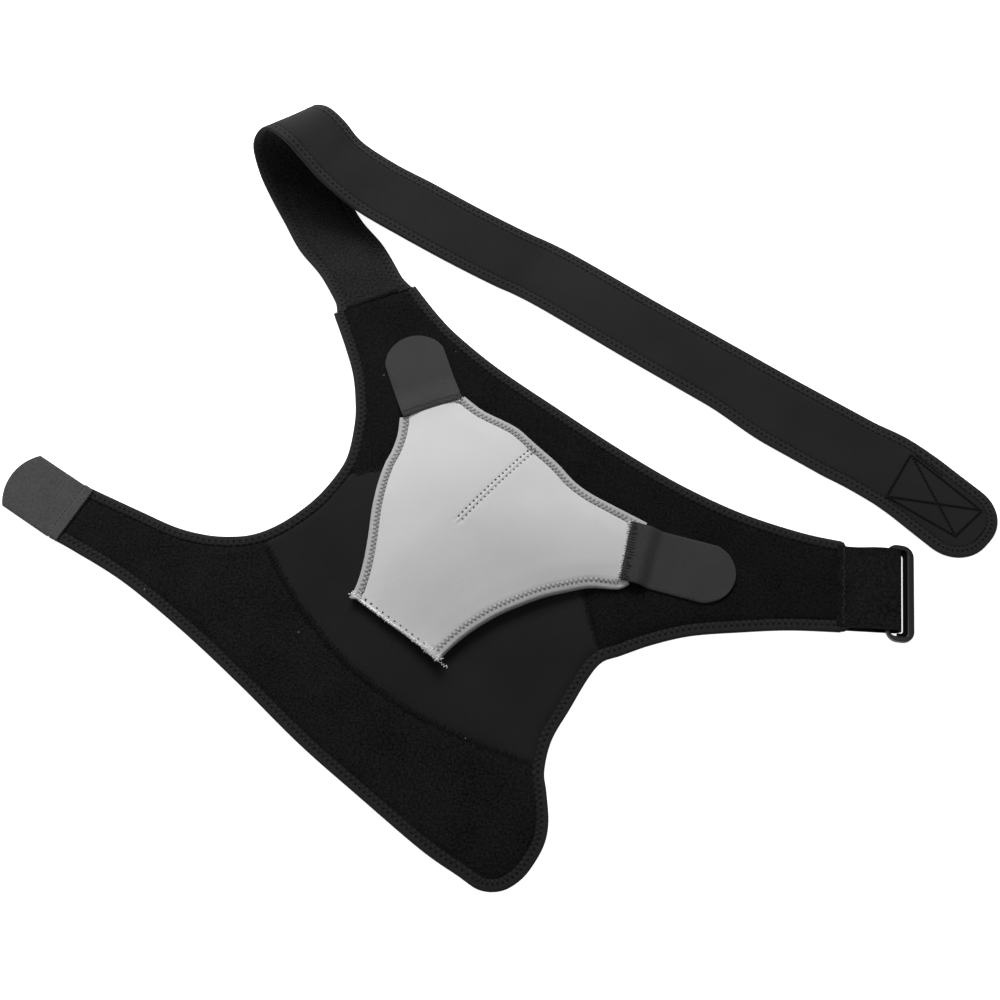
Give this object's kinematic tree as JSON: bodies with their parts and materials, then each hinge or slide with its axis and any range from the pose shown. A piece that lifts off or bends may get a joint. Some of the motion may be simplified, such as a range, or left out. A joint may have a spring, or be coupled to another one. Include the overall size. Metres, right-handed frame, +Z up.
{
  "type": "shoulder brace",
  "caption": "Black neoprene shoulder brace laid open, inner face up, with bound edges, hook tabs, a grey pressure pad, a folded chest strap and a plastic ring.",
  "frame": {"origin": "on the resting plane under the crown of the pressure pad", "axes": "+X from the arm cuff's tab to the ring end, +Y towards the fold of the chest strap, +Z up out of the inner face"},
  "size_m": [0.7925, 0.6782, 0.0596],
  "materials": {
    "velour": "brushed loop velour",
    "smooth_knit": "smooth jersey",
    "edge_tape": "woven elastic tape",
    "hook_tape": "hook tape",
    "pad_knit": "fine grey knit",
    "pad_tape": "grey elastic tape",
    "ring_plastic": "satin moulded"
  },
  "bodies": {
    "brace": {"shoulder_panel": "velour", "centre_panel": "smooth_knit", "arm_cuff_panel": "velour", "lower_binding": "edge_tape", "upper_binding": "edge_tape", "armhole_binding": "edge_tape", "arm_tab": "hook_tape", "strap_binding": "edge_tape", "chest_strap": "smooth_knit", "strap_hook_patch": "hook_tape", "ring_keeper": "velour", "pressure_pad": "pad_knit", "pad_binding_left": "pad_tape", "pad_binding_lower": "pad_tape", "pad_binding_upper": "pad_tape", "pad_tab_side": "hook_tape", "pad_tab_top": "hook_tape"},
    "ring": {"strap_ring": "ring_plastic"}
  },
  "joints": [
    {"name": "ring_swing", "type": "hinge", "parent": "brace", "child": "ring", "pos_m": [0.33673, -0.06294, 0.0044], "axis": [-0.1092, -0.994, 0], "range_deg": [0, 150]}
  ]
}
